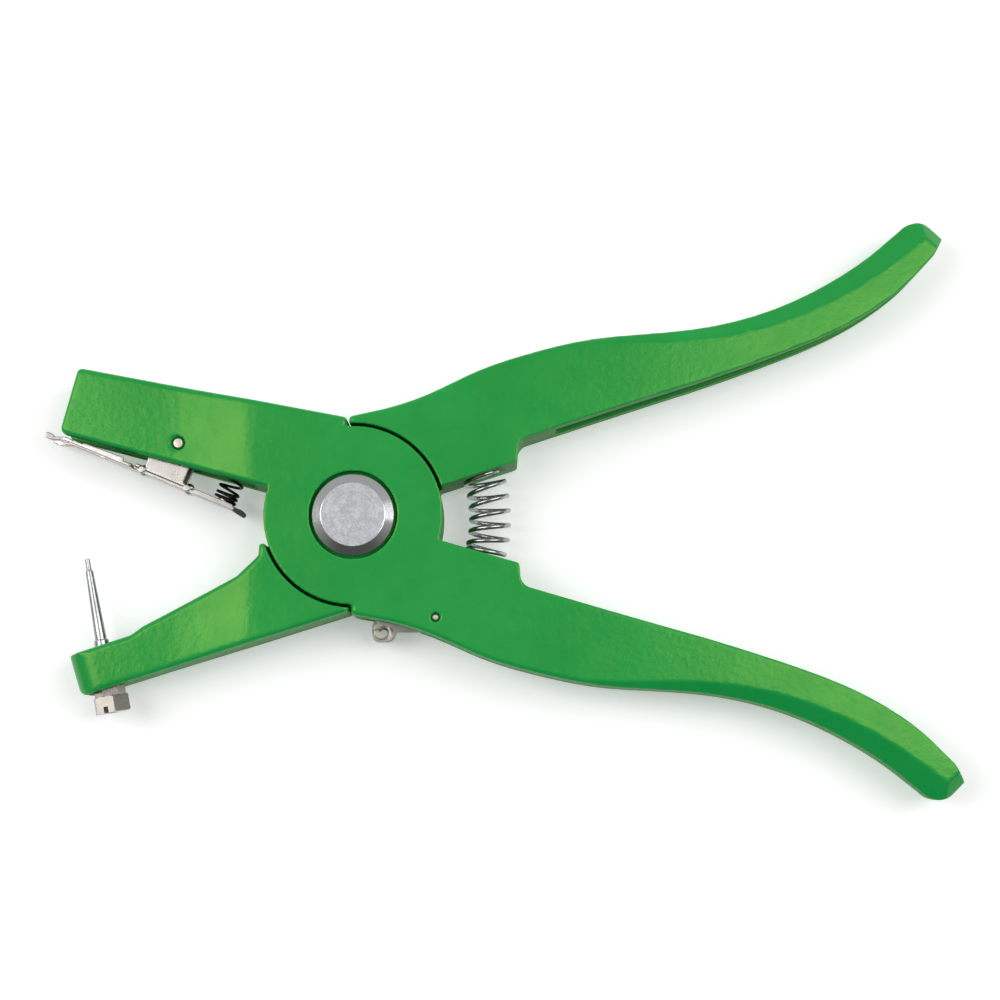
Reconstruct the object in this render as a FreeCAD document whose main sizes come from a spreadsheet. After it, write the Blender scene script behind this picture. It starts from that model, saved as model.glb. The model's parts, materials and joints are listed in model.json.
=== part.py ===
"""Ear-tag applicator pliers, open, lying flat on their underside.

Millimetres.  The pivot axis is the Z axis, the underside of the hub is z = 0, the jaws
point to -X and the handles to +X.  The two castings cross at the hub: the tag-jaw frame
keeps the upper half of the hub, the needle-jaw frame keeps the lower half.
"""
import FreeCAD, Part
import math
import os
import Sketcher

V = FreeCAD.Vector
doc = FreeCAD.newDocument("ear_tag_pliers")

# ---------------------------------------------------------------- driving dimensions
SIZES = {
    "hub_radius": 24.0,
    "hub_thickness": 20.0,
    "lap_gap": 0.2,             # between the two half hubs
    "rim_gap": 0.8,             # round each half hub, inside the other casting
    "stop_x": -1.1,             # the shoulders that stop the opening meet here
    "stop_gap": 0.6,
    "jaw_thickness": 16.0,      # at the ends of the jaws
    "jaw_slope_start": -25.8,
    "jaw_slope_end": -53.0,
    "handle_taper_start": 45.0,
    "handle_tip_x": 162.0,
    "tip_thickness": 12.4,
    "edge_round": 1.2,
    "pad_angle": 17.2,          # the spring pads lie on two radii of the hub
    "button_radius": 11.0,
    "button_chamfer": 2.4,
    "button_height": 4.0,
    "button_stand": 1.0,        # above the face of the hub
    "recess_radius": 11.85,
    "shank_radius": 6.0,
    "shank_play": 0.05,
    "washer_thickness": 1.2,
    "ring_thickness": 1.1,
    "rear_recess": 4.6,
    "clip_pin_radius": 1.5,
    "clip_pin_play": 0.08,
    "latch_pin_radius": 0.9,
    "latch_pin_play": 0.08,
    "channel_width": 9.4,
    "sheet": 0.9,
    "fork_width": 15.0,
    "fork_slot": 7.2,
    "clip_width": 8.8,
    "needle_tip_radius": 0.7,
    "needle_neck_radius": 0.95,
    "needle_base_radius": 1.55,
    "needle_length": 23.2,
    "needle_tilt": 9.9,         # from +Y towards -X
    "gland_flats": 8.8,
    "gland_height": 4.4,
    "locknut_flats": 7.2,
    "locknut_height": 2.4,
    "thread_radius": 2.9,
    "spring_radius": 5.2,       # of the centre of the wire
    "spring_wire": 1.3,
    "clip_spring_radius": 2.9,
    "clip_spring_wire": 0.9,
    "latch_thickness": 4.6,
    "groove_width": 9.2,        # of the hollows in the handles' inner sides
    "tab_round": 0.9,
}

sheet = doc.addObject("Spreadsheet::Sheet", "sizes")
for row, (alias, value) in enumerate(SIZES.items(), start=1):
    sheet.set("A%d" % row, alias)
    sheet.set("B%d" % row, str(value))
    sheet.setAlias("B%d" % row, alias)
doc.recompute()


def size(alias):
    return float(sheet.get(alias))


MID_Z = size("hub_thickness") / 2
HUB_R = size("hub_radius")
RIM_R = HUB_R + size("rim_gap")

CLIP_PIN = (-47.0, 20.4)
CLIP_SLOPE = -23.6              # of the clip's plate, degrees from +X
LATCH_PIN = (21.7, -27.8)
NEEDLE_SEAT = (-68.8, -32.6)    # where the needle leaves its bush
SPRING_RADIUS = 36.6            # from the pivot to the middle of the return spring


# ---------------------------------------------------------------- small helpers
def polar(radius, degrees):
    angle = math.radians(degrees)
    return (radius * math.cos(angle), radius * math.sin(angle))


def vec(point, height=0.0):
    return V(point[0], point[1], height)


def line(start, end):
    return Part.LineSegment(vec(start), vec(end))


def arc(start, middle, end):
    return Part.Arc(vec(start), vec(middle), vec(end))


def hub_arc(start_degrees, end_degrees):
    middle = (start_degrees + end_degrees) / 2
    return arc(polar(HUB_R, start_degrees), polar(HUB_R, middle), polar(HUB_R, end_degrees))


def curve(points, start_slope, end_slope):
    """A smooth curve through points, with its end directions in degrees."""
    spline = Part.BSplineCurve()
    spline.interpolate(Points=[vec(p) for p in points],
                       InitialTangent=vec(polar(1, start_slope)),
                       FinalTangent=vec(polar(1, end_slope)))
    return spline


def rounded(corners, closed=True):
    """Straight runs between (x, y, radius) corners, with tangent arcs at the corners."""
    count = len(corners)
    ends = []
    for i, (x, y, radius) in enumerate(corners):
        here = V(x, y, 0)
        before = V(*corners[i - 1][:2], 0) - here
        after = V(*corners[(i + 1) % count][:2], 0) - here
        if radius == 0 or (not closed and i in (0, count - 1)):
            ends.append((here, None, here))
            continue
        before.normalize()
        after.normalize()
        half = before.getAngle(after) / 2
        middle = (before + after).normalize()
        centre = here + middle * (radius / math.sin(half))
        reach = radius / math.tan(half)
        ends.append((here + before * reach, centre - middle * radius, here + after * reach))
    edges = []
    for i, (start, middle, end) in enumerate(ends):
        if middle is not None:
            edges.append(Part.Arc(start, middle, end))
        if i + 1 < count or closed:
            following = ends[(i + 1) % count][0]
            if (following - end).Length > 1e-6:
                edges.append(Part.LineSegment(end, following))
    return edges


def flipped(edges):
    """The same edges mirrored across the X axis."""
    result = []
    for edge in edges:
        copy = edge.copy()
        copy.mirror(V(0, 0, 0), V(1, 0, 0))
        result.append(copy)
    return result


def new_body(label):
    body = doc.addObject("PartDesign::Body", label)
    body.Label = label
    return body


def new_sketch(body, name, edges, plane="XY_Plane", height=0.0):
    """A sketch on one of the body's own planes; height may be a number or an expression."""
    sketch = body.newObject("Sketcher::SketchObject", body.Name + "_" + name)
    origin = [f for f in body.Origin.OriginFeatures if f.Role == plane][0]
    sketch.AttachmentSupport = [(origin, "")]
    sketch.MapMode = "FlatFace"
    if isinstance(height, str):
        sketch.setExpression("AttachmentOffset.Base.z", height)
    else:
        sketch.AttachmentOffset = FreeCAD.Placement(V(0, 0, height), FreeCAD.Rotation())
    for edge in edges:
        sketch.addGeometry(edge, False)
    return sketch


def circle_sketch(body, name, centre, radius, height=0.0):
    """One circle whose radius follows an expression of the sheet."""
    sketch = new_sketch(body, name, [Part.Circle(vec(centre), V(0, 0, 1), 1.0)], height=height)
    index = sketch.addConstraint(Sketcher.Constraint("Radius", 0, 1.0))
    sketch.setExpression("Constraints[%d]" % index, radius)
    return sketch


def pad(body, sketch, length):
    feature = body.newObject("PartDesign::Pad", sketch.Name + "_pad")
    feature.Profile = sketch
    feature.setExpression("Length", length)
    doc.recompute()
    return feature


def pocket(body, sketch, length):
    """Cut upwards from the sketch's height by an expression of the sheet."""
    before = body.Shape.Volume
    feature = body.newObject("PartDesign::Pocket", sketch.Name + "_cut")
    feature.Profile = sketch
    feature.Reversed = True
    feature.setExpression("Length", length)
    doc.recompute()
    if not body.Shape.Volume < before - 1e-3:
        raise RuntimeError(feature.Name + " cut nothing")
    return feature


def symmetric_pad(body, sketch, length):
    """Pad half the length to each side of the sketch's plane."""
    feature = body.newObject("PartDesign::Pad", sketch.Name + "_pad")
    feature.Profile = sketch
    feature.SideType = "Symmetric"
    feature.setExpression("Length", length)
    doc.recompute()
    return feature


def through(body, sketch):
    """Cut right through the body, both ways from the sketch's plane."""
    before = body.Shape.Volume
    feature = body.newObject("PartDesign::Pocket", sketch.Name + "_cut")
    feature.Profile = sketch
    feature.Type = "ThroughAll"
    feature.Midplane = True
    doc.recompute()
    if not body.Shape.Volume < before - 1e-3:
        raise RuntimeError(feature.Name + " cut nothing")
    return feature


def primitive(body, kind, name, placement, **sizes):
    """A PartDesign primitive, such as SubtractiveCylinder, placed in the body's frame."""
    feature = body.newObject("PartDesign::" + kind, body.Name + "_" + name)
    feature.MapMode = "Deactivated"
    feature.Placement = placement
    for prop, value in sizes.items():
        if isinstance(value, str):
            feature.setExpression(prop, value)
        else:
            setattr(feature, prop, value)
    doc.recompute()
    return feature


CREST_RUN = 5.0                 # length of the short crest at the head of the jaws' slope


def jaw_slope_arcs():
    """Drop of the jaws' slope and the radii of its long hollow and its short crest."""
    run = size("jaw_slope_start") - size("jaw_slope_end")
    drop = (size("hub_thickness") - size("jaw_thickness")) / 2
    steepest = 2 * math.atan(drop / run)
    crest = CREST_RUN / math.sin(steepest)
    return drop, run / math.sin(steepest) - crest, crest


def top_height(x):
    """Height of the castings' upper face over x; the lower face mirrors it."""
    start = size("handle_taper_start")
    run = size("handle_tip_x") - start
    drop = (size("hub_thickness") - size("tip_thickness")) / 2
    if x > start:
        return 2 * MID_Z - drop * ((x - start) / run) ** 2
    slope_start = size("jaw_slope_start")
    slope_end = size("jaw_slope_end")
    jaw_drop, hollow, crest = jaw_slope_arcs()
    if x < slope_end:
        return 2 * MID_Z - jaw_drop
    if x < slope_start - CREST_RUN:
        return 2 * MID_Z - jaw_drop + hollow - math.sqrt(hollow ** 2 - (x - slope_end) ** 2)
    if x < slope_start:
        return 2 * MID_Z - crest + math.sqrt(crest ** 2 - (slope_start - x) ** 2)
    return 2 * MID_Z


# ---------------------------------------------------------------- outlines of the castings
STOP_RIGHT = size("stop_x") + size("stop_gap") / 2
STOP_LEFT = size("stop_x") - size("stop_gap") / 2
HANDLE_ROOT = (9.0, 28.7)
HANDLE_OUTER = [HANDLE_ROOT, (20.0, 32.2), (33.0, 38.1), (49.0, 43.3), (65.0, 46.7), (81.0, 48.1),
                (96.0, 49.7), (111.0, 53.3), (127.0, 60.1), (143.0, 70.3), (150.3, 76.4)]
TIP_TOP = (154.6, 78.5)
TIP_SHOULDER = (158.4, 77.3)
TIP_CORNER = (162.0, 73.8)
HANDLE_INNER = [(158.9, 68.8), (151.1, 60.9), (143.4, 55.0), (135.5, 50.3), (127.7, 46.6),
                (111.9, 40.6), (96.0, 35.3), (64.2, 25.6)]
NOTCH_TOP = (50.4, 21.3)
PAD_CORNER = (44.3, 13.7)


def rim_angle(x, side):
    """Direction of the hub's rim at x, on the +Y side (side 1) or the -Y side (-1)."""
    return math.degrees(math.atan2(side * math.sqrt(HUB_R ** 2 - x ** 2), x)) % 360


def handle_edges():
    """The upper handle from its stop shoulder round the tip to its spring pad."""
    shoulder = rounded([(STOP_RIGHT, math.sqrt(HUB_R ** 2 - STOP_RIGHT ** 2), 0),
                        (STOP_RIGHT, 26.7, 0.9),
                        HANDLE_ROOT + (0,)], closed=False)
    pad_start = polar(HUB_R, size("pad_angle"))
    notch = rounded([NOTCH_TOP + (0,), (PAD_CORNER[0] + 0.3, 19.5, 3.6), PAD_CORNER + (0.9,),
                     pad_start + (0,)], closed=False)
    return shoulder + [
        curve(HANDLE_OUTER, 14, 39),
        arc(HANDLE_OUTER[-1], TIP_TOP, TIP_SHOULDER),
        line(TIP_SHOULDER, TIP_CORNER),
        line(TIP_CORNER, HANDLE_INNER[0]),
        curve(HANDLE_INNER, 225, 197.5),
        line(HANDLE_INNER[-1], NOTCH_TOP),
    ] + notch


TAG_JAW_UNDERSIDE = -15.9       # slope of the tag jaw's underside, degrees
TAG_JAW_CORNER = (-79.1, 23.8)
TAG_JAW_BACK = (-74.1, 41.6)


def tag_frame_outline():
    """Jaw on the upper left, handle on the lower right, round the whole hub."""
    jaw_root = polar(HUB_R, 161.2)
    stop = (STOP_LEFT, math.sqrt(HUB_R ** 2 - STOP_LEFT ** 2))
    jaw = rounded([jaw_root + (0,), TAG_JAW_CORNER + (2.0,), TAG_JAW_BACK + (1.4,),
                   (STOP_LEFT, 26.5, 0.9), stop + (0,)], closed=False)
    pad_start = 360 - size("pad_angle")
    return (jaw + flipped(handle_edges())
            + [hub_arc(rim_angle(STOP_LEFT, 1), pad_start - 360),
               hub_arc(161.2, rim_angle(STOP_RIGHT, -1))])


NEEDLE_JAW_END = (-76.6, -36.2)
NEEDLE_JAW_HEEL = (-73.4, -47.2)
BEAK_ANGLE = 197.3              # where the beak over the jaw meets the hub


def needle_frame_outline():
    """Jaw on the lower left, handle on the upper right, round the whole hub."""
    stop = (STOP_LEFT, -math.sqrt(HUB_R ** 2 - STOP_LEFT ** 2))
    jaw = rounded([stop + (0,), (STOP_LEFT, -25.9, 0.7), NEEDLE_JAW_HEEL + (2.2,),
                   NEEDLE_JAW_END + (0.8,), (-59.6, -30.9, 4.0), (-56.6, -28.7, 3.0),
                   (-31.2, -15.8, 6.0), (-25.4, -10.4, 0), (-25.2, -7.3, 0.6),
                   polar(HUB_R, BEAK_ANGLE) + (0,)], closed=False)
    return (jaw + handle_edges()
            + [hub_arc(BEAK_ANGLE, rim_angle(STOP_RIGHT, 1)),
               hub_arc(rim_angle(STOP_LEFT, -1) - 360, size("pad_angle"))])


# ---------------------------------------------------------------- features shared by the castings
def side_profile(body):
    """Thin the jaws and the handles towards their ends, above and below the middle plane."""
    slope_start = size("jaw_slope_start")
    slope_end = size("jaw_slope_end")
    crest_start = slope_start - CREST_RUN
    start = size("handle_taper_start")
    tip = size("handle_tip_x") + 4
    above = 2 * MID_Z + 2

    def over(x):
        return (x, top_height(x))

    jaw = [line((-90, above), (-90, over(slope_end)[1])),
           line((-90, over(slope_end)[1]), over(slope_end)),
           arc(over(slope_end), over((slope_end + crest_start) / 2), over(crest_start)),
           arc(over(crest_start), over(slope_start - CREST_RUN / 2), over(slope_start)),
           line(over(slope_start), (slope_start, above)),
           line((slope_start, above), (-90, above))]
    handle = [line((start, above), over(start)),
              arc(over(start), over((start + tip) / 2), over(tip)),
              line(over(tip), (tip, above)),
              line((tip, above), (start, above))]
    for edges, name in ((jaw, "jaw_side"), (handle, "handle_side")):
        through(body, new_sketch(body, name + "_top", edges, "XZ_Plane"))
        lower = []
        for edge in edges:
            copy = edge.copy()
            copy.mirror(V(0, MID_Z, 0), V(1, 0, 0))
            lower.append(copy)
        through(body, new_sketch(body, name + "_bottom", lower, "XZ_Plane"))


GROOVE_START = (55.0, 22.8)
GROOVE_DEPTH = 3.0
HANDLE_POCKETS = ((57, 73), (75, 95), (97, 117))    # along X, with low ribs between them
POCKET_DEPTH = 6.5


def handle_groove(body, side):
    """A long groove down the handle's inner side."""
    near = HANDLE_INNER[1:-1] + [GROOVE_START]
    outside = []
    inside = []
    for i, (x, y) in enumerate(near):
        before = vec(near[max(i - 1, 0)])
        after = vec(near[min(i + 1, len(near) - 1)])
        run = (after - before).normalize()
        normal = V(-run.y, run.x, 0)
        outside.append((x + 2.0 * normal.x, y + 2.0 * normal.y))
        inside.append((x - GROOVE_DEPTH * normal.x, y - GROOVE_DEPTH * normal.y))
    inside.reverse()
    edges = [curve(outside, 224, 197), line(outside[-1], inside[0]),
             curve(inside, 17, 44), line(inside[-1], outside[0])]
    if side < 0:
        edges = flipped(edges)
    sketch = new_sketch(body, "groove", edges, height="(sizes.hub_thickness - sizes.groove_width) / 2")
    pocket(body, sketch, "sizes.groove_width")


def handle_pockets(body, side):
    """Three deeper pockets in the floor of the groove."""
    for number, (start, end) in enumerate(HANDLE_POCKETS, start=1):
        near = inner_side(start)
        far = inner_side(end)
        edges = rounded([(start, near - 2, 0), (start - 1.5, near + POCKET_DEPTH, 1.5),
                         (end - 1.5, far + POCKET_DEPTH, 1.5), (end, far - 2, 0)])
        if side < 0:
            edges = flipped(edges)
        sketch = new_sketch(body, "pocket_%d" % number, edges,
                            height="(sizes.hub_thickness - sizes.groove_width) / 2")
        pocket(body, sketch, "sizes.groove_width")


def spring_seat(body, side):
    """A shallow round seat in the spring pad, square to the pad."""
    angle = side * size("pad_angle")
    centre = polar(SPRING_RADIUS, angle)
    outward = FreeCAD.Rotation(V(0, 0, 1), vec(polar(1, angle + side * 90)))
    start = vec(centre, MID_Z) - outward.multVec(V(0, 0, 2))
    primitive(body, "SubtractiveCylinder", "spring_seat", FreeCAD.Placement(start, outward),
              Radius="sizes.spring_radius + sizes.spring_wire / 2 + 0.35", Height=2.7)


def round_edges(body, name, radius, chosen):
    """Fillet the edges of the body's last feature that the test picks."""
    tip = body.Tip
    names = ["Edge%d" % (i + 1) for i, edge in enumerate(tip.Shape.Edges) if chosen(edge)]
    feature = body.newObject("PartDesign::Fillet", body.Name + "_" + name)
    feature.Base = (tip, names)
    feature.setExpression("Radius", radius)
    doc.recompute()
    return feature


def is_outer_edge(edge, side):
    """Top and bottom edges along the jaw and the outer side of the handle, not the creases."""
    if edge.Length < 1.0:
        return False
    first = edge.valueAt(edge.FirstParameter)
    last = edge.valueAt(edge.LastParameter)
    middle = edge.valueAt((edge.FirstParameter + edge.LastParameter) / 2)
    if abs(first.x - last.x) < 0.05 and abs(first.y - last.y) > 3:
        return False
    for point in (first, middle, last):
        level = abs(point.z - MID_Z)
        if abs(level - (top_height(point.x) - MID_Z)) > 0.02:
            return False
        if math.hypot(point.x, point.y) < RIM_R + (0.6 if point.y > 0 or point.x > -2 else 1.6):
            return False
        if point.x > 0 and side * point.y < 26.5:
            return False
        if point.x > 0 and side * point.y < 0.62 * point.x - 28:
            return False
    inner = HANDLE_INNER[0][0] - 12
    return not (middle.x > 46 and side * middle.y < inner_side(middle.x) + 2 and middle.x < inner)


def inner_side(x):
    """Roughly where the inner side of the upper handle runs."""
    return 25.6 + (x - 64.2) * 0.305 + 0.0032 * max(0, x - 100) ** 2


def bevel_tool(side, lower):
    """The wedge that bevels the palm side of a handle, wider and deeper towards its tip."""
    outer = curve(HANDLE_OUTER, 14, 39)
    wires = []
    stations = 7
    first = outer.parameter(vec((62.0, 46.2)))
    for i in range(stations):
        share = i / (stations - 1)
        at = first + (outer.LastParameter + 0.035 * (outer.LastParameter - first) - first) * share
        point = outer.value(min(at, outer.LastParameter))
        tangent = outer.tangent(min(at, outer.LastParameter))[0]
        if at > outer.LastParameter:
            point = point + tangent * 9
        normal = V(-tangent.y, tangent.x, 0)
        width = 0.9 + 5.4 * share ** 0.8
        depth = 0.9 + 3.0 * share
        crease = V(point.x, point.y, top_height(min(point.x, 162))) - normal * width
        foot = V(point.x, point.y, top_height(min(point.x, 162)) - depth)
        slope = (foot - crease).normalize()
        wires.append(Part.makePolygon([crease - slope * 4, foot + slope * 4,
                                       foot + normal * 7 + V(0, 0, 7), crease - slope * 4]))
    tool = Part.makeLoft(wires, True, False)
    if side < 0:
        tool = tool.mirror(V(0, 0, 0), V(0, 1, 0))
    if lower:
        tool = tool.mirror(V(0, 0, MID_Z), V(0, 0, 1))
    return tool


def end_bevel_tool(side, lower):
    """The wedge that bevels the end of a handle."""
    along = (vec(TIP_CORNER) - vec(TIP_SHOULDER)).normalize()
    normal = V(-along.y, along.x, 0)
    start = vec(TIP_SHOULDER) - along * 14
    top = top_height(158)
    crease = V(start.x, start.y, top) - normal * 3.6
    foot = V(start.x, start.y, top - 3.2)
    slope = (foot - crease).normalize()
    profile = Part.makePolygon([crease - slope * 3, foot + slope * 3,
                                foot + normal * 6 + V(0, 0, 6), crease - slope * 3])
    tool = Part.Face(profile).extrude(along * 30)
    if side < 0:
        tool = tool.mirror(V(0, 0, 0), V(0, 1, 0))
    if lower:
        tool = tool.mirror(V(0, 0, MID_Z), V(0, 0, 1))
    return tool


NOSE_LENGTH = 6.0
NOSE_DROP = 4.2


def nose_tool(side, lower):
    """The round that is cut off the end of the needle jaw, above and below."""
    end = vec(NEEDLE_JAW_END)
    along = (vec(NEEDLE_JAW_HEEL) - end).normalize()
    inward = V(-along.y, along.x, 0)
    top = top_height(NEEDLE_JAW_END[0])
    radius = (NOSE_LENGTH ** 2 + NOSE_DROP ** 2) / (2 * NOSE_DROP)
    steepest = math.asin(NOSE_LENGTH / radius)

    def at(depth, height):
        return end - along * 12 + inward * depth + V(0, 0, height)

    def on_arc(angle):
        return at(NOSE_LENGTH - radius * math.sin(angle), top - radius + radius * math.cos(angle))

    foot = at(-4, top - NOSE_DROP)
    outline = [Part.Arc(on_arc(0), on_arc(steepest / 2), on_arc(steepest)).toShape(),
               Part.makePolygon([on_arc(steepest), foot, at(-4, top + 4), at(NOSE_LENGTH, top + 4),
                                 on_arc(0)])]
    tool = Part.Face(Part.Wire([e for shape in outline for e in shape.Edges])).extrude(along * 40)
    if lower:
        tool = tool.mirror(V(0, 0, MID_Z), V(0, 0, 1))
    return tool


def finished_casting(label, blank, side, kinds):
    """The blank with the bevels of its handle, and any round of its jaw, cut away."""
    tools = [tool(side, lower) for tool in kinds for lower in (False, True)]
    bevels = doc.addObject("Part::Feature", label + "_bevels")
    bevels.Shape = Part.makeCompound(tools)
    cut = doc.addObject("Part::Cut", label)
    cut.Base = blank
    cut.Tool = bevels
    cut.Label = label
    doc.recompute()
    return cut


def casting_blank(label, edges, side, lap_height, lap_depth):
    """Outline, side profile, lap, pivot bore and handle hollows of one casting."""
    body = new_body(label + "_blank")
    pad(body, new_sketch(body, "outline", edges), "sizes.hub_thickness")
    side_profile(body)
    round_edges(body, "rounds", "sizes.edge_round", lambda edge: is_outer_edge(edge, side))
    lap = circle_sketch(body, "lap", (0, 0), "sizes.hub_radius + sizes.rim_gap", lap_height)
    pocket(body, lap, lap_depth)
    through(body, circle_sketch(body, "bore", (0, 0), "sizes.shank_radius + sizes.shank_play"))
    handle_groove(body, side)
    handle_pockets(body, side)
    spring_seat(body, side)
    return body


# ---------------------------------------------------------------- the two castings
def tag_jaw_channel(body):
    """The slot in the tag jaw for the tag, the clip and its spring, open at the front."""
    along = V(*polar(1, TAG_JAW_UNDERSIDE), 0)
    inward = V(-along.y, along.x, 0)
    corner = vec(TAG_JAW_CORNER)

    def at(distance, depth):
        point = corner + along * distance + inward * depth
        return (point.x, point.y)

    loop = [at(-8, -3) + (0,), at(54.6, -3) + (0,), at(54.6, 5.2) + (1.0,), at(41, 5.2) + (0.8,),
            at(41, 9.8) + (1.5,), at(-8, 9.8) + (0,)]
    sketch = new_sketch(body, "clip_channel", rounded(loop),
                        height="sizes.hub_thickness / 2 - sizes.channel_width / 2")
    pocket(body, sketch, "sizes.channel_width")


def latch_slot(body):
    """The pocket in the lower half of the handle's root that houses the latch."""
    x, y = LATCH_PIN
    loop = [(1.6, -40, 0), (1.6, -20, 0), (14.0, -18, 0), (x + 4.2, y + 3.0, 2.5),
            (x + 4.2, y - 3.0, 2.5), (x - 1.0, -40, 0)]
    sketch = new_sketch(body, "latch_slot", rounded(loop), height=4.2)
    pocket(body, sketch, "sizes.hub_thickness / 2 + sizes.lap_gap / 2 - 4.2")


def pin_hole(body, name, centre, radius):
    """A hole through the casting, with a wider mouth round the pin's end."""
    through(body, circle_sketch(body, name, centre, radius))
    mouth = vec(centre, top_height(centre[0]) - 1.3)
    primitive(body, "SubtractiveCylinder", name + "_mouth", FreeCAD.Placement(mouth, FreeCAD.Rotation()),
              Radius=radius + " + 0.38", Height=4)


def make_tag_jaw_frame():
    label = "tag_jaw_frame"
    body = casting_blank(label, tag_frame_outline(), -1,
                         0.0, "sizes.hub_thickness / 2 + sizes.lap_gap / 2")
    recess = circle_sketch(body, "button_recess", (0, 0), "sizes.recess_radius",
                           "sizes.hub_thickness - sizes.button_height + sizes.button_stand")
    pocket(body, recess, "sizes.button_height")
    tag_jaw_channel(body)
    latch_slot(body)
    pin_hole(body, "clip_pin_hole", CLIP_PIN, "sizes.clip_pin_radius")
    pin_hole(body, "latch_pin_hole", LATCH_PIN, "sizes.latch_pin_radius")
    stud_hole(body, -1)
    return finished_casting(label, body, -1, (bevel_tool, end_bevel_tool))


def needle_placement(distance):
    """On the needle's axis, distance above its seat, with Z along the needle."""
    rotation = FreeCAD.Rotation(V(0, 0, 1), vec(polar(1, 90 + size("needle_tilt"))))
    return FreeCAD.Placement(vec(NEEDLE_SEAT, MID_Z) + rotation.multVec(V(0, 0, distance)), rotation)


BUSH_TOP = 0.9
BUSH_DEPTH = 4.0
FLANGE_TOP = -3.1
LOCKNUT_TOP = -12.2


def needle_bore(body):
    """Bush hole, thread hole and the flat that the lock nut bears on."""
    primitive(body, "SubtractiveCylinder", "bush_hole", needle_placement(-BUSH_DEPTH),
              Radius=2.0, Height=8.0)
    primitive(body, "SubtractiveCylinder", "thread_hole", needle_placement(-22.0),
              Radius="sizes.thread_radius", Height=22.0 + FLANGE_TOP)
    primitive(body, "SubtractiveCylinder", "nut_seat", needle_placement(LOCKNUT_TOP - 6.0),
              Radius=5.6, Height=6.0)


TOOTH_ANGLE = -68.5             # where the latch's tooth rests over the hub's rim
CLOSE_ANGLE = 21.0              # how far the handles close


def latch_notch(body):
    """The notch in the half hub's rim that takes the latch's tooth when the tool is shut."""
    angle = TOOTH_ANGLE + CLOSE_ANGLE
    centre = vec(polar(HUB_R, angle))
    rotation = FreeCAD.Rotation(V(0, 0, 1), angle)
    corner = centre + rotation.multVec(V(-2.6, -1.9, 0)) + V(0, 0, -1)
    primitive(body, "SubtractiveBox", "latch_notch", FreeCAD.Placement(corner, rotation),
              Length=6.0, Width=3.8, Height=MID_Z + 2)


def make_needle_jaw_frame():
    label = "needle_jaw_frame"
    lap_height = "sizes.hub_thickness / 2 - sizes.lap_gap / 2"
    body = casting_blank(label, needle_frame_outline(), 1, lap_height, "sizes.hub_thickness")
    recess = circle_sketch(body, "rear_recess", (0, 0), "sizes.recess_radius")
    pocket(body, recess, "sizes.rear_recess")
    needle_bore(body)
    latch_notch(body)
    stud_hole(body, 1)
    return finished_casting(label, body, 1, (bevel_tool, end_bevel_tool, nose_tool))


# ---------------------------------------------------------------- pivot
def revolved(label, profile, placement=None):
    """A body turned about its own Z axis from (radius, height) corners."""
    body = new_body(label)
    sketch = new_sketch(body, "profile", rounded(profile), "XZ_Plane")
    feature = body.newObject("PartDesign::Revolution", label + "_turned")
    feature.Profile = sketch
    feature.ReferenceAxis = (sketch, ["V_Axis"])
    feature.Angle = 360
    if placement is not None:
        body.Placement = placement
    doc.recompute()
    return body


def make_pivot_pin():
    """Button head with a wide chamfer, shank with a ring groove at its rear end."""
    radius = size("button_radius")
    chamfer = size("button_chamfer")
    top = size("hub_thickness") + size("button_stand")
    under = top - size("button_height") + 0.05
    shank = size("shank_radius")
    groove = size("ring_thickness") + 0.06
    washer_top = size("rear_recess") - 0.05
    groove_top = washer_top - size("washer_thickness") - 0.03
    profile = [(0, 0, 0), (shank - 0.5, 0, 0), (shank, 0.5, 0), (shank, groove_top - groove, 0),
               (shank - 0.7, groove_top - groove, 0), (shank - 0.7, groove_top, 0),
               (shank, groove_top, 0), (shank, under, 0), (radius, under, 0),
               (radius, top - 1.5, 0.3), (radius - chamfer, top, 0.25), (0, top, 0)]
    return revolved("pivot_pin", profile)


def make_pivot_washer():
    inner = size("shank_radius") + 0.1
    top = size("rear_recess") - 0.05
    bottom = top - size("washer_thickness")
    return revolved("pivot_washer", [(inner, bottom, 0), (10.6, bottom, 0.25), (10.6, top, 0.25),
                                     (inner, top, 0)])


def make_pivot_circlip():
    """An open ring with two eyes, in the groove of the pivot pin."""
    body = new_body("pivot_circlip")
    inner = size("shank_radius") - 0.65
    opening = 14.0
    outer = 8.0
    eye = 2.3
    start = opening
    end = 360 - opening
    ring = [arc(polar(outer, start + 16), polar(outer, 180), polar(outer, end - 16)),
            line(polar(outer, end - 16), polar(outer + eye, end - 10)),
            line(polar(outer + eye, end - 10), polar(outer + eye, end)),
            line(polar(outer + eye, end), polar(inner, end)),
            arc(polar(inner, end), polar(inner, 180), polar(inner, start)),
            line(polar(inner, start), polar(outer + eye, start)),
            line(polar(outer + eye, start), polar(outer + eye, start + 10)),
            line(polar(outer + eye, start + 10), polar(outer, start + 16))]
    height = size("rear_recess") - 0.05 - size("washer_thickness") - 0.06 - size("ring_thickness")
    pad(body, new_sketch(body, "ring", ring, height=height), "sizes.ring_thickness")
    for sign in (1, -1):
        eye_centre = polar(outer + 0.5, sign * (opening + 7.5))
        through(body, circle_sketch(body, "eye_%d" % (sign + 2), eye_centre, "0.8"))
    return body


# ---------------------------------------------------------------- return spring and its studs
def stud_placement(side):
    """On the seat's axis at the pad's surface, Z pointing into the spring."""
    angle = side * size("pad_angle")
    centre = vec(polar(SPRING_RADIUS, angle), MID_Z)
    return FreeCAD.Placement(centre, FreeCAD.Rotation(V(0, 0, 1), vec(polar(1, angle - side * 90))))


def stud_hole(body, side):
    placement = stud_placement(side)
    inward = placement.multiply(FreeCAD.Placement(V(0, 0, -6.0), FreeCAD.Rotation()))
    primitive(body, "SubtractiveCylinder", "stud_hole", inward, Radius=2.0, Height=8.0)


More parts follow.
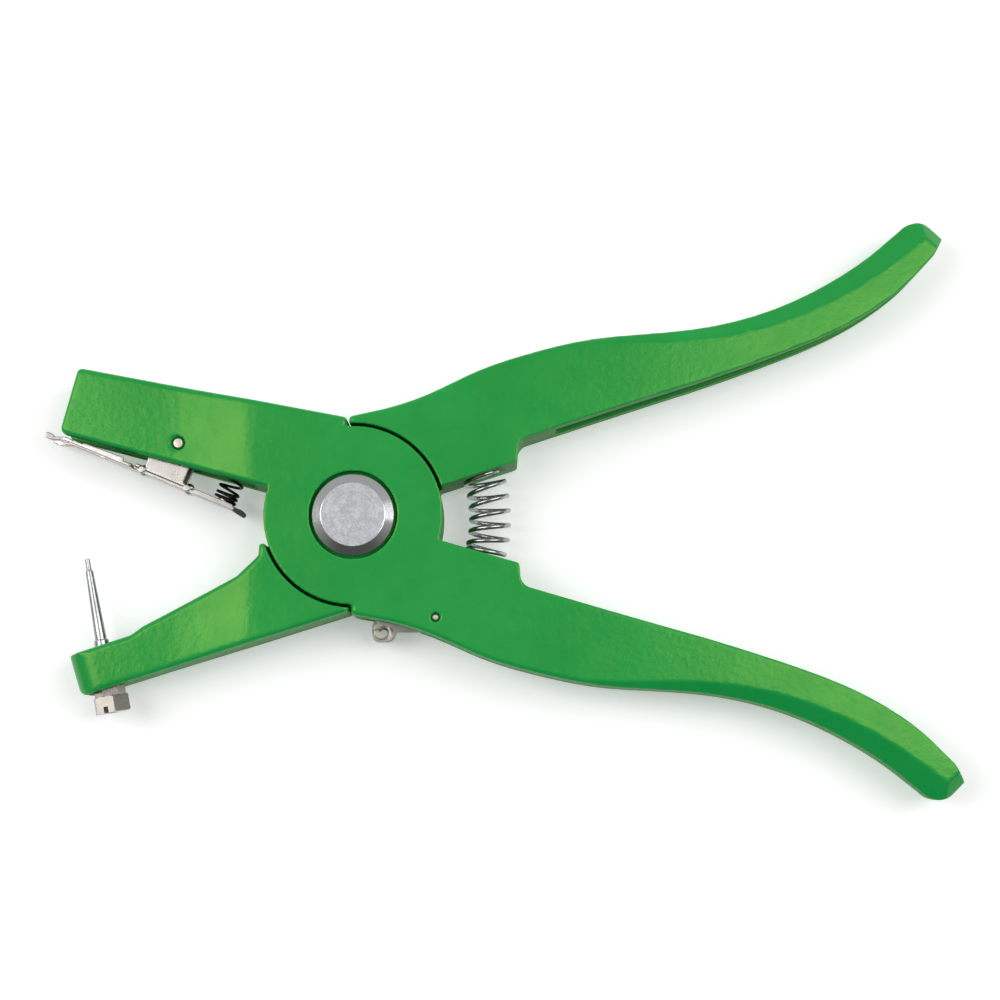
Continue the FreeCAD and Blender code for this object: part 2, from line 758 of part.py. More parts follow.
def make_spring_stud(label, side):
    profile = [(0, -5.8, 0), (1.6, -5.8, 0), (1.98, -5.4, 0), (1.98, -0.68, 0), (3.9, -0.68, 0),
               (3.9, -0.3, 0.2), (2.6, 0.1, 0), (0, 0.2, 0)]
    return revolved(label, profile, stud_placement(side))


def coil(label, radius, wire, height, turns, placement):
    """A helical spring with its axis on Z from 0 to height between wire centres."""
    feature = doc.addObject("Part::Feature", label)
    helix = Part.makeHelix(height / turns, height, radius)
    section = Part.Wire(Part.Circle(V(radius, 0, 0), V(0, 1, 0), wire / 2).toShape())
    feature.Shape = Part.Wire(helix.Edges).makePipeShell([section], True, True)
    feature.Placement = placement
    feature.Label = label
    return feature


def make_return_spring():
    """Drawn straight between the two pads; it bows a little on the real tool."""
    length = 17.0
    rotation = FreeCAD.Rotation(V(0, 0, 1), V(0, 1, 0))
    start = V(SPRING_RADIUS - 0.5, -length / 2, MID_Z)
    return coil("return_spring", size("spring_radius"), size("spring_wire"), length, 6,
                FreeCAD.Placement(start, rotation))


# ---------------------------------------------------------------- tag clip
def clip_placement():
    """Origin on the clip's pin, X along the plate towards its tail, Y up into the jaw."""
    return FreeCAD.Placement(vec(CLIP_PIN, MID_Z), FreeCAD.Rotation(V(0, 0, 1), CLIP_SLOPE))


PLATE_BOTTOM = -10.9
FORK_TIP = -34.2
FORK_ROOT = -9.5
SLOT_END = -17.0
TAIL_END = 23.0
SPRING_ON_TAIL = 16.6


def clip_sheet(body):
    """The bent sheet seen from the side, at its full width."""
    low = PLATE_BOTTOM
    top = PLATE_BOTTOM + size("sheet")
    side = rounded([(FORK_TIP, low - 1.3, 0.7), (FORK_TIP + 2.2, low - 1.3, 1.0),
                    (FORK_TIP + 5.6, low, 2.0), (TAIL_END - 3.2, low, 0), (TAIL_END, low - 0.5, 0.7),
                    (TAIL_END, top + 0.2, 0.7), (TAIL_END - 3.2, top, 0),
                    (FORK_TIP + 5.4, top, 2.0), (FORK_TIP + 2.6, top - 1.0, 0.5),
                    (FORK_TIP + 1.6, top - 0.55, 0.4), (FORK_TIP, top - 0.55, 0.7)])
    symmetric_pad(body, new_sketch(body, "side", side), "sizes.fork_width")


def clip_outline(body):
    """Narrow the tail, round the prongs and cut the slot between them."""
    wide = size("fork_width") / 2
    narrow = size("clip_width") / 2
    slot = size("fork_slot") / 2
    for name, sign in (("upper", 1), ("lower", -1)):
        waist = rounded([(FORK_ROOT, sign * 12, 0), (FORK_ROOT, sign * narrow, 1.2),
                         (TAIL_END + 3, sign * narrow, 0), (TAIL_END + 3, sign * 12, 0)])
        through(body, new_sketch(body, "waist_" + name, waist, "XZ_Plane"))
        prong = rounded([(FORK_TIP - 2, sign * 12, 0), (FORK_TIP - 2, sign * (slot + 3.6), 0),
                         (FORK_TIP + 5, sign * (slot + 3.2), 4.0), (FORK_TIP + 10, sign * wide, 4.0),
                         (FORK_TIP + 10, sign * 12, 0)])
        through(body, new_sketch(body, "prong_" + name, prong, "XZ_Plane"))
    mouth = rounded([(FORK_TIP - 2, slot + 0.3, 0), (FORK_TIP + 6, slot, 0), (SLOT_END, slot, 3.5),
                     (SLOT_END, -slot, 3.5), (FORK_TIP + 6, -slot, 0), (FORK_TIP - 2, -slot - 0.3, 0)])
    through(body, new_sketch(body, "slot", mouth, "XZ_Plane"))


def clip_flanges(body):
    """Low upturned edges that stiffen the prongs' roots and the tail."""
    thick = size("sheet")
    top = PLATE_BOTTOM + thick
    front = (FORK_TIP + 10.2, FORK_ROOT - 2.4, 0.4, 0.9, size("fork_width") / 2)
    rear = (8.0, TAIL_END - 3.3, 0.6, 0.6, size("clip_width") / 2)
    for name, (start, end, start_rise, end_rise, half) in (("front", front), ("rear", rear)):
        flange = rounded([(start, top - 0.05, 0), (end, top - 0.05, 0), (end, top + end_rise, 0.4),
                          (start + 1.0, top + start_rise, 0.3)])
        for number, low in enumerate((-half, half - thick), start=1):
            sketch = new_sketch(body, "flange_%s_%d" % (name, number), flange, height=low)
            pad(body, sketch, "sizes.sheet")


def make_clip_fork():
    """Stamped plate: two prongs in front, straight middle, tail with a rolled end."""
    body = new_body("clip_fork")
    clip_sheet(body)
    clip_outline(body)
    clip_flanges(body)
    rivet_holes(body)
    body.Placement = clip_placement()
    doc.recompute()
    return body


RIVETS_AT = (-6.8, 6.4)


def rivet_holes(body):
    upwards = FreeCAD.Rotation(V(0, 0, 1), V(0, 1, 0))
    for number, x in enumerate(RIVETS_AT, start=1):
        placement = FreeCAD.Placement(V(x, PLATE_BOTTOM - 2, 0), upwards)
        primitive(body, "SubtractiveCylinder", "rivet_%d" % number, placement, Radius=0.9, Height=6)


CRIMP_HEIGHT = 0.55


def clip_crimps(body):
    """Four round lugs that lap over the edges of the plate."""
    half = size("clip_width") / 2
    for x in RIVETS_AT:
        for low in (half, -half - CRIMP_HEIGHT):
            name = "crimp_%d_%d" % (round(x), round(low))
            centre = (x, PLATE_BOTTOM + size("sheet") - 0.15)
            pad(body, circle_sketch(body, name.replace("-", "m"), centre, "0.98", low),
                str(CRIMP_HEIGHT))


def make_clip_bracket():
    """U-shaped bracket on the plate whose two ears hang on the clip's pin."""
    body = new_body("clip_bracket")
    base = PLATE_BOTTOM + size("sheet")
    floor = base + size("sheet")
    ears = rounded([(-6.2, base, 0), (4.8, base, 0), (4.8, -4.0, 1.5), (3.2, 0, 0.5), (2.2, 2.6, 1.5),
                    (-2.2, 2.6, 1.5), (-3.2, 0, 0.5), (-6.7, -4.0, 1.5)])
    symmetric_pad(body, new_sketch(body, "ears", ears), "sizes.clip_width")
    gap = FreeCAD.Placement(V(-10, floor, -size("clip_width") / 2 + size("sheet")), FreeCAD.Rotation())
    primitive(body, "SubtractiveBox", "gap", gap, Length=20, Width=20,
              Height="sizes.clip_width - 2 * sizes.sheet")
    feet = rounded([(-9.0, base, 0), (7.9, base, 0), (7.9, floor, 0.4), (-9.0, floor, 0.4)])
    symmetric_pad(body, new_sketch(body, "feet", feet), "sizes.clip_width")
    clip_crimps(body)
    through(body, circle_sketch(body, "pin_hole", (0, 0), "sizes.clip_pin_radius + sizes.clip_pin_play"))
    rivet_holes(body)
    body.Placement = clip_placement()
    doc.recompute()
    return body


def make_clip_rivets():
    """Two domed rivets that join the bracket to the plate."""
    group = doc.addObject("Part::Feature", "clip_rivets")
    thick = size("sheet")
    low = PLATE_BOTTOM
    high = PLATE_BOTTOM + 2 * thick
    solids = []
    for x in RIVETS_AT:
        shank = Part.makeCylinder(0.88, high - low, V(x, low, 0), V(0, 1, 0))
        heads = []
        for start, direction in ((V(x, high, 0), 1), (V(x, low, 0), -1)):
            dome = Part.makeSphere(1.6, start - V(0, direction * 0.85, 0))
            half = Part.makeBox(6, 3, 6, start - V(3, 0 if direction > 0 else 3, 3))
            heads.append(dome.common(half))
        solids.append(shank.multiFuse(heads).removeSplitter())
    group.Shape = Part.makeCompound(solids)
    group.Placement = clip_placement()
    group.Label = "clip_rivets"
    return group


def make_clip_pin():
    top = top_height(CLIP_PIN[0])
    low = 2 * MID_Z - top
    radius = size("clip_pin_radius")
    return revolved("clip_pin", [(0, low + 0.3, 0), (radius - 0.3, low + 0.3, 0), (radius, low + 0.6, 0),
                                 (radius, top - 0.6, 0), (radius - 0.3, top - 0.25, 0),
                                 (0, top - 0.2, 0)],
                    FreeCAD.Placement(vec(CLIP_PIN), FreeCAD.Rotation()))


def make_clip_spring_rivet():
    """The rivet on the clip's tail that keeps the spring from walking off."""
    profile = [(0, -0.5, 0), (2.0, -0.5, 0.2), (2.0, 1.4, 0.5), (0, 1.6, 0)]
    base = PLATE_BOTTOM + size("sheet") + 0.55
    placement = clip_placement().multiply(
        FreeCAD.Placement(V(SPRING_ON_TAIL, base, 0), FreeCAD.Rotation(V(0, 0, 1), V(0, 1, 0))))
    return revolved("clip_spring_rivet", profile, placement)


def make_clip_spring():
    base = PLATE_BOTTOM + size("sheet") + size("clip_spring_wire") / 2 + 0.15
    placement = clip_placement().multiply(
        FreeCAD.Placement(V(SPRING_ON_TAIL, base, 0), FreeCAD.Rotation(V(0, 0, 1), V(0, 1, 0))))
    return coil("clip_spring", size("clip_spring_radius"), size("clip_spring_wire"), 10.0, 4, placement)


# ---------------------------------------------------------------- needle and its fittings
def make_needle():
    """Stepped steel needle with a flange that the gland screw clamps."""
    tip = size("needle_tip_radius")
    neck = size("needle_neck_radius")
    base = size("needle_base_radius")
    length = size("needle_length")
    flange = size("thread_radius") - 0.2
    profile = [(0, FLANGE_TOP - 1.8, 0), (flange, FLANGE_TOP - 1.8, 0), (flange, FLANGE_TOP, 0),
               (base, FLANGE_TOP, 0), (base, 2.2, 0), (neck + 0.08, length - 3.4, 0),
               (tip, length - 3.1, 0), (tip, length - 0.15, 0), (tip - 0.15, length, 0),
               (0, length, 0)]
    return revolved("applicator_needle", profile, needle_placement(0))


def make_needle_bush():
    inner = size("needle_base_radius") + 0.02
    low = -BUSH_DEPTH + 0.95
    profile = [(inner, low, 0), (2.0, low, 0), (2.0, BUSH_TOP - 0.3, 0), (1.8, BUSH_TOP, 0),
               (inner, BUSH_TOP, 0)]
    return revolved("needle_bush", profile, needle_placement(0))


def hexagon(flats, turn):
    radius = flats / math.sqrt(3)
    return rounded([polar(radius, turn + 60 * i) + (0,) for i in range(6)])


def hex_body(label, flats, low, height, turn):
    """A hexagon whose corners are turned down at both ends; low is its lower face."""
    body = new_body(label)
    pad(body, new_sketch(body, "hexagon", hexagon(size(flats), turn), height=low), "sizes." + height)
    top = low + size(height)
    crown = size(flats) / 2 + 0.25
    limit = [(crown, -40, 0), (crown, low, 0), (crown + 1.6, low + 0.8, 0),
             (crown + 1.6, top - 0.8, 0), (crown, top, 0), (crown, 40, 0), (14, 40, 0), (14, -40, 0)]
    sketch = new_sketch(body, "crown", rounded(limit), "XZ_Plane")
    groove = body.newObject("PartDesign::Groove", label + "_crown_cut")
    groove.Profile = sketch
    groove.ReferenceAxis = (sketch, ["V_Axis"])
    groove.Angle = 360
    doc.recompute()
    return body


GLAND_TOP = LOCKNUT_TOP - size("locknut_height")


def make_locknut():
    """Thin nut that locks the gland screw against the jaw."""
    body = hex_body("needle_locknut", "locknut_flats", GLAND_TOP, "locknut_height", 20.5)
    through(body, circle_sketch(body, "thread", (0, 0), "sizes.thread_radius + 0.02"))
    body.Placement = needle_placement(0)
    doc.recompute()
    return body


GLAND_TURN = -4.3               # of a corner, round the needle's axis
SLOT_HALF_ANGLE = 4.6           # of the screwdriver slot's corners, seen from the axis


def make_gland():
    """Slotted hexagon screw that holds the needle in the jaw."""
    low = GLAND_TOP - size("gland_height")
    body = hex_body("needle_gland", "gland_flats", low, "gland_height", GLAND_TURN)
    ends = (SLOT_HALF_ANGLE, 180 - SLOT_HALF_ANGLE, 180 + SLOT_HALF_ANGLE, -SLOT_HALF_ANGLE)
    slot = rounded([polar(8, GLAND_TURN + 90 + angle) + (0,) for angle in ends])
    pocket(body, new_sketch(body, "slot", slot, height=low), "1.7")
    shank = circle_sketch(body, "shank", (0, 0), "sizes.thread_radius - 0.02", GLAND_TOP - 0.5)
    pad(body, shank, "%.3f" % (FLANGE_TOP - 1.85 - GLAND_TOP + 0.5))
    body.Placement = needle_placement(0)
    doc.recompute()
    return body


# ---------------------------------------------------------------- latch
def make_latch():
    """Lever on its pin, with a tooth for the hub's notch and a curled thumb tab."""
    body = new_body("latch_lever")
    x, y = LATCH_PIN
    tooth = polar(HUB_R + 0.45, TOOTH_ANGLE)
    tooth_right = polar(HUB_R + 0.45, TOOTH_ANGLE + 5.5)
    lever = rounded([(x + 2.6, y + 2.4, 2.2), (x + 2.6, y - 2.4, 2.2), (15.5, -31.2, 2.0),
                     (10.6, -31.1, 0.6), (10.0, -33.7, 2.0), (4.3, -33.7, 2.7), (4.1, -28.9, 1.6),
                     (6.6, -26.4, 0.8), tooth + (0.4,), tooth_right + (0.4,), (12.2, -24.8, 0.8)])
    sketch = new_sketch(body, "lever", lever, height=4.7)
    pad(body, sketch, "sizes.latch_thickness")
    through(body, circle_sketch(body, "pin_hole", LATCH_PIN,
                                "sizes.latch_pin_radius + sizes.latch_pin_play"))
    tab = rounded([(9.95, -33.65, 1.6), (4.35, -33.65, 1.7), (4.2, -30.4, 1.1), (9.7, -30.0, 1.1)])
    tab_low, tab_high = 2.6, 11.4
    pad(body, new_sketch(body, "tab", tab, height=tab_low), "%.1f" % (tab_high - tab_low))
    round_edges(body, "tab_rounds", "sizes.tab_round",
                lambda edge: all(abs(v.Z - tab_low) < 0.01 or abs(v.Z - tab_high) < 0.01
                                 for v in edge.Vertexes)
                and abs(edge.Vertexes[0].Z - edge.Vertexes[-1].Z) < 0.01)
    return body


def make_latch_pin():
    radius = size("latch_pin_radius")
    top = 2 * MID_Z - 0.15
    return revolved("latch_pin", [(0, 0.5, 0), (radius - 0.2, 0.5, 0), (radius, 0.8, 0),
                                  (radius, top - 0.3, 0), (radius - 0.3, top, 0), (0, top + 0.05, 0)],
                    FreeCAD.Placement(vec(LATCH_PIN), FreeCAD.Rotation()))


# ---------------------------------------------------------------- build, check and export
parts = [
    make_tag_jaw_frame(),
    make_needle_jaw_frame(),
    make_pivot_pin(),
    make_pivot_washer(),
    make_pivot_circlip(),
    make_return_spring(),
    make_spring_stud("spring_stud_upper", 1),
    make_spring_stud("spring_stud_lower", -1),
    make_clip_fork(),
    make_clip_bracket(),
    make_clip_rivets(),
    make_clip_pin(),
    make_clip_spring_rivet(),
    make_clip_spring(),
    make_needle(),
    make_needle_bush(),
    make_locknut(),
    make_gland(),
    make_latch(),
    make_latch_pin(),
]
doc.recompute()

for item in doc.Objects:
    if "Invalid" in item.State or "Error" in item.State:
        raise RuntimeError(item.Name + " failed: " + str(item.State))
for part in parts:
    if part.Shape.isNull() or not part.Shape.isValid():
        raise RuntimeError(part.Label + " has no valid shape")

os.makedirs("parts", exist_ok=True)
for part in parts:
    part.Shape.exportStep("parts/%s.step" % part.Label)
    box = part.Shape.BoundBox
    print("%-20s solids %d  volume %9.1f  x %.1f..%.1f  y %.1f..%.1f  z %.2f..%.2f" % (
        part.Label, len(part.Shape.Solids), part.Shape.Volume,
        box.XMin, box.XMax, box.YMin, box.YMax, box.ZMin, box.ZMax))
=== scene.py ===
import json
import math

import bmesh
import bpy
import numpy as np
from mathutils import Matrix, Vector


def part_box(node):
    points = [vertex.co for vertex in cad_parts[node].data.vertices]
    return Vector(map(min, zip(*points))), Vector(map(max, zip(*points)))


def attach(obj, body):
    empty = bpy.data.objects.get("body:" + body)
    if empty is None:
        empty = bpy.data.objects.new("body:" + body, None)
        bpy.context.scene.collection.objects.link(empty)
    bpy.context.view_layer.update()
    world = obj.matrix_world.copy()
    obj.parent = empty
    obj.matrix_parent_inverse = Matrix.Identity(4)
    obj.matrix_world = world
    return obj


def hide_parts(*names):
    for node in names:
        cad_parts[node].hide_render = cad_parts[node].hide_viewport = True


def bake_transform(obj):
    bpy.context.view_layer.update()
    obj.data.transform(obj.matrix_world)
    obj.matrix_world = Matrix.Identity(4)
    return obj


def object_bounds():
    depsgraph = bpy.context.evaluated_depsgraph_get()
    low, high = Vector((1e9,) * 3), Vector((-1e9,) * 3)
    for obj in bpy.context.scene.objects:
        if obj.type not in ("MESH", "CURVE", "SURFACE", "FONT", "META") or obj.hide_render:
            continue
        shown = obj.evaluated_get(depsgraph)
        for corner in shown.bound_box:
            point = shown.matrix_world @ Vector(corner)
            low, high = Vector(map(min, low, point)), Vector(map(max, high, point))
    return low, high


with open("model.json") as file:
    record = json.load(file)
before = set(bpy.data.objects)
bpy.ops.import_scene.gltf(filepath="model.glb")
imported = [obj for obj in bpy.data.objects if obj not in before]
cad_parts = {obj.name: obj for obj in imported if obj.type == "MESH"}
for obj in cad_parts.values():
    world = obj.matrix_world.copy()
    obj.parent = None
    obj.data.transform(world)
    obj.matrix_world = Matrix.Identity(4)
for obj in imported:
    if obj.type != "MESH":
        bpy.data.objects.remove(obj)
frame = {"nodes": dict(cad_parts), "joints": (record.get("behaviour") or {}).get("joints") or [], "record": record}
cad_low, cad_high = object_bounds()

MM = 0.001
NODES = frame["nodes"]
JOINTS = {joint["name"]: joint for joint in frame["joints"]}
BODY_OF = {node: body for body, nodes in frame["record"]["behaviour"]["bodies"].items()
           for node in nodes}
SLOT_OF = {row["node"]: row["material_slot"] for row in frame["record"]["subparts"]}
scene = bpy.context.scene


# ------------------------------------------------------------------ node helpers
class Nodes:
    """Short calls for building one procedural material."""

    def __init__(self, name):
        self.material = bpy.data.materials.new(name)
        self.material.use_nodes = True
        self.tree = self.material.node_tree
        self.shader = self.tree.nodes["Principled BSDF"]
        self.place = self.new("ShaderNodeTexCoord").outputs["Object"]

    def new(self, kind, **settings):
        node = self.tree.nodes.new(kind)
        for key, value in settings.items():
            setattr(node, key, value)
        return node

    def link(self, source, target):
        self.tree.links.new(source, target)

    def fill(self, socket, value):
        if isinstance(value, bpy.types.NodeSocket):
            self.link(value, socket)
        else:
            socket.default_value = value

    def noise(self, scale, detail=3.0, roughness=0.5, at=None):
        node = self.new("ShaderNodeTexNoise")
        self.link(at or self.place, node.inputs["Vector"])
        node.inputs["Scale"].default_value = scale
        node.inputs["Detail"].default_value = detail
        node.inputs["Roughness"].default_value = roughness
        return node.outputs["Fac"]

    def math(self, operation, first, second=0.0):
        node = self.new("ShaderNodeMath", operation=operation)
        self.fill(node.inputs[0], first)
        self.fill(node.inputs[1], second)
        return node.outputs[0]

    def spread(self, value, low, high, to_low=0.0, to_high=1.0):
        """Map low..high of a value to another range, smoothly and clamped."""
        node = self.new("ShaderNodeMapRange", interpolation_type="SMOOTHSTEP")
        for socket, number in zip(node.inputs, (value, low, high, to_low, to_high)):
            self.fill(socket, number)
        return node.outputs["Result"]

    def mix(self, share, first, second):
        node = self.new("ShaderNodeMix", data_type="RGBA")
        self.fill(node.inputs["Factor"], share)
        self.fill(node.inputs["A"], (*first, 1) if isinstance(first, tuple) else first)
        self.fill(node.inputs["B"], (*second, 1) if isinstance(second, tuple) else second)
        return node.outputs["Result"]

    def separate(self, vector):
        node = self.new("ShaderNodeSeparateXYZ")
        self.link(vector, node.inputs[0])
        return node.outputs

    def stretched(self, scale):
        """Object coordinates scaled along each axis."""
        node = self.new("ShaderNodeMapping")
        self.link(self.place, node.inputs["Vector"])
        node.inputs["Scale"].default_value = scale
        return node.outputs[0]

    def from_pivot(self):
        """Distance from the pivot axis."""
        x, y, _ = self.separate(self.place)
        squared = self.math("ADD", self.math("MULTIPLY", x, x), self.math("MULTIPLY", y, y))
        return self.math("SQRT", squared)

    def bump(self, height, distance, strength=1.0, under=None):
        node = self.new("ShaderNodeBump")
        self.link(height, node.inputs["Height"])
        node.inputs["Distance"].default_value = distance
        node.inputs["Strength"].default_value = strength
        if under is not None:
            self.link(under, node.inputs["Normal"])
        return node.outputs[0]

    def finish(self, **sockets):
        for name, value in sockets.items():
            self.fill(self.shader.inputs[name.replace("_", " ")], value)
        return self.material


# ------------------------------------------------------------------ materials
PAINT_HIGHLIGHT = (0.75, 1.0, 0.15, 1)          # the paint's gloss is yellow-green
PAINT_IOR = 1.52
BUTTON_FLAT = (8.62 * MM, 8.48 * MM)            # radii over which the chamfer ends and the flat begins
BUTTON_RIM = (12.5 * MM, 13.0 * MM)             # the same steel further out is the latch's pin
RING_RADIUS = 6.0 * MM                          # of the faint turned ring on the button, a darker ring of painted shade
RING_FADE = (0.35 * MM, 0.10 * MM)
TURNING_PITCH = 0.22 * MM
CLIP_SLOPE = math.radians(-23.6)                # of the clip's plate, from the X axis
CLIP_PIN = JOINTS["clip_open"]["pos_m"]
TAIL_SHADE = (19.9 * MM, 20.7 * MM)              # from the clip's pin to where the painted shade on the tail begins


def green_paint():
    """Stove enamel on a die casting: slight orange peel with painted glints, painted highlights on the edges,
    painted shade in the creases, and painted shade on the walls, which are also duller.
    """
    n = Nodes("green_paint")
    clouds = n.noise(38.0, 4.0, 0.6)
    # painted glints: small lighter yellow-green flecks in the colour, the gloss of the orange peel
    glint_specks = n.noise(1900.0, 2.0, 0.6)
    colour = n.mix(n.spread(clouds, 0.32, 0.70), (0.0045, 0.285, 0.056), (0.0075, 0.318, 0.065))
    colour = n.mix(n.spread(glint_specks, 0.60, 0.78, 0.0, 0.35), colour, (0.016, 0.370, 0.058))

    pointed = n.new("ShaderNodeNewGeometry").outputs["Pointiness"]
    # painted highlight: convex edges and rims are lightened
    colour = n.mix(n.spread(pointed, 0.515, 0.56, 0.0, 0.55), colour, (0.030, 0.39, 0.065))
    # painted shade: concave creases and corners are darkened
    colour = n.mix(n.spread(pointed, 0.485, 0.44, 0.0, 0.5), colour, (0.005, 0.14, 0.028))

    peel = n.bump(n.noise(620.0, 2.5, 0.55), 0.16 * MM, 0.42)
    grain = n.bump(n.noise(3600.0, 2.0, 0.6), 0.03 * MM, 0.30, under=peel)
    roughness = n.spread(n.noise(120.0, 5.0, 0.65), 0.3, 0.7, 0.18, 0.27)

    upright = n.math("ABSOLUTE", n.separate(n.new("ShaderNodeTexCoord").outputs["Normal"])[2])
    wall = n.spread(upright, 0.30, 0.12)
    # painted shade: the side walls are darkened; the line below also makes them rougher
    colour = n.mix(n.math("MULTIPLY", wall, 0.45), colour, (0.006, 0.10, 0.020))
    roughness = n.math("ADD", roughness, n.math("MULTIPLY", wall, 0.35))
    return n.finish(Base_Color=colour, Roughness=roughness, Normal=grain,
                    Specular_Tint=PAINT_HIGHLIGHT, IOR=PAINT_IOR)


def metal(name, dark, light, rough, grain=0.02 * MM):
    """Bare metal: colour and roughness vary a little, under a fine grain."""
    n = Nodes(name)
    clouds = n.noise(105.0, 4.0, 0.6)
    marks = n.noise(2700.0, 3.0, 0.7)
    colour = n.mix(n.spread(clouds, 0.3, 0.7), dark, light)
    roughness = n.spread(n.noise(300.0, 5.0, 0.7), 0.3, 0.72, *rough)
    return n.finish(Base_Color=colour, Metallic=1.0, Roughness=roughness,
                    Normal=n.bump(marks, grain, 0.5))


def turned_steel():
    """The button: blasted flat with a faint ring of painted shade and a bright chamfer; and the latch's pin."""
    n = Nodes("turned_steel")
    radius = n.from_pivot()
    flat = n.spread(radius, *BUTTON_FLAT)
    beyond = n.spread(radius, *BUTTON_RIM)
    chamfer = n.math("MULTIPLY", n.spread(flat, 1, 0), n.spread(beyond, 1, 0))
    ring_shade = n.spread(n.math("ABSOLUTE", n.math("SUBTRACT", radius, RING_RADIUS)), *RING_FADE)
    stipple = n.noise(2600.0, 3.0, 0.7)
    blotches = n.math("ADD", stipple, n.spread(n.noise(420.0, 4.0, 0.6), 0.3, 0.7, -0.12, 0.12))
    colour = n.mix(n.spread(blotches, 0.35, 0.7), (0.38, 0.385, 0.40), (0.52, 0.525, 0.55))
    # painted shade: a darker ring where the shallow turned groove is
    colour = n.mix(n.math("MULTIPLY", ring_shade, 0.35), colour, (0.34, 0.34, 0.36))
    colour = n.mix(beyond, colour, n.mix(stipple, (0.52, 0.48, 0.40), (0.62, 0.58, 0.50)))
    colour = n.mix(chamfer, colour, (0.60, 0.61, 0.61))

    rough = n.spread(flat, 0, 1, 0.17, 0.36)
    rough = n.math("ADD", rough, n.math("MULTIPLY", beyond, 0.2))
    rough = n.math("ADD", rough, n.spread(n.noise(900.0, 4.0, 0.7), 0.3, 0.7, -0.03, 0.05))

    rings = n.math("SINE", n.math("MULTIPLY", radius, 2 * math.pi / TURNING_PITCH))
    turned = n.bump(rings, 0.0035 * MM, 0.5)
    blasted = n.bump(n.math("MULTIPLY", stipple, flat), 0.10 * MM, 0.5, under=turned)
    return n.finish(Base_Color=colour, Metallic=1.0, Roughness=rough, Normal=blasted)


def stamped_steel():
    """The clip: warm plated sheet, with its rolled tail end painted near-black as shade."""
    n = Nodes("stamped_steel")
    x, y, _ = n.separate(n.place)
    from_pin = (n.math("SUBTRACT", x, CLIP_PIN[0]), n.math("SUBTRACT", y, CLIP_PIN[1]))
    along = n.math("ADD", n.math("MULTIPLY", from_pin[0], math.cos(CLIP_SLOPE)),
                   n.math("MULTIPLY", from_pin[1], math.sin(CLIP_SLOPE)))
    wander = n.spread(n.noise(700.0, 4.0, 0.6), 0.3, 0.7, -0.4 * MM, 0.4 * MM)
    tail = n.spread(n.math("ADD", along, wander), *TAIL_SHADE)

    clouds = n.spread(n.noise(105.0, 4.0, 0.6), 0.3, 0.7)
    colour = n.mix(clouds, (0.42, 0.39, 0.36), (0.60, 0.57, 0.54))
    # painted shade: the tail end is near-black, duller and less metallic
    colour = n.mix(tail, colour, (0.030, 0.028, 0.026))
    marks = n.noise(2700.0, 3.0, 0.7, at=n.stretched((1, 1, 0.2)))
    roughness = n.spread(n.noise(300.0, 5.0, 0.7), 0.3, 0.72, 0.22, 0.40)
    roughness = n.math("ADD", roughness, n.math("MULTIPLY", tail, 0.4))
    return n.finish(Base_Color=colour, Metallic=n.spread(tail, 0, 1, 1, 0.2), Roughness=roughness,
                    Normal=n.bump(marks, 0.02 * MM, 0.5))


MATERIALS = {
    "green_paint": green_paint(),
    "turned_steel": turned_steel(),
    "zinc_steel": metal("zinc_steel", (0.48, 0.48, 0.48), (0.66, 0.66, 0.65), (0.26, 0.42)),
    "black_steel": metal("black_steel", (0.012, 0.012, 0.012), (0.035, 0.034, 0.032), (0.28, 0.5)),
    "spring_steel": metal("spring_steel", (0.30, 0.31, 0.31), (0.46, 0.47, 0.47), (0.16, 0.30)),
    "stamped_steel": stamped_steel(),
    "needle_steel": metal("needle_steel", (0.26, 0.26, 0.27), (0.40, 0.40, 0.41), (0.16, 0.30)),
    "nickel_plate": metal("nickel_plate", (0.32, 0.285, 0.25), (0.46, 0.42, 0.38), (0.20, 0.34),
                          grain=0.002 * MM),
    "tumbled_nickel": metal("tumbled_nickel", (0.40, 0.37, 0.34), (0.54, 0.50, 0.46), (0.44, 0.58)),
}


# ------------------------------------------------------------------ mesh helpers
def new_piece(name, mesh, slot):
    """A smooth-shaded object in the material of its slot."""
    piece = bpy.data.objects.new(name, mesh)
    scene.collection.objects.link(piece)
    mesh.materials.clear()
    mesh.materials.append(MATERIALS[slot])
    mesh.polygons.foreach_set("use_smooth", [True] * len(mesh.polygons))
    return piece


def moved(mesh, change):
    """Pass the vertices through a function of an (n, 3) array."""
    points = np.empty(len(mesh.vertices) * 3)
    mesh.vertices.foreach_get("co", points)
    points = change(points.reshape(-1, 3))
    mesh.vertices.foreach_set("co", points.ravel())
    mesh.update()


WELD = 0.002 * MM               # the CAD meshes' faces meet closer than this


def softened(node, name, voxel, passes, reshape=None, kept_share=1.0):
    """A copy of a CAD node whose sharp edges are softened, as paint or tumbling does."""
    mesh = NODES[node].data.copy()
    if reshape:
        moved(mesh, reshape)
    welded = bmesh.new()
    welded.from_mesh(mesh)
    bmesh.ops.remove_doubles(welded, verts=welded.verts, dist=WELD)
    welded.to_mesh(mesh)
    welded.free()
    raw = bpy.data.objects.new(name + "_raw", mesh)
    scene.collection.objects.link(raw)
    remesh = raw.modifiers.new("remesh", "REMESH")
    remesh.mode = "VOXEL"
    remesh.voxel_size = voxel
    smooth = raw.modifiers.new("smooth", "SMOOTH")
    smooth.factor = 0.5
    smooth.iterations = passes
    if kept_share < 1:
        thin = raw.modifiers.new("thin", "DECIMATE")
        thin.ratio = kept_share
    shaped = raw.evaluated_get(bpy.context.evaluated_depsgraph_get())
    final = bpy.data.meshes.new_from_object(shaped)
    bpy.data.objects.remove(raw)
    piece = new_piece(name, final, SLOT_OF[node])
    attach(piece, BODY_OF[node])
    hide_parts(node)
    return piece


WIRE_SIDES = 14
WIRE_END = 0.78                 # the cut ends are this much thinner


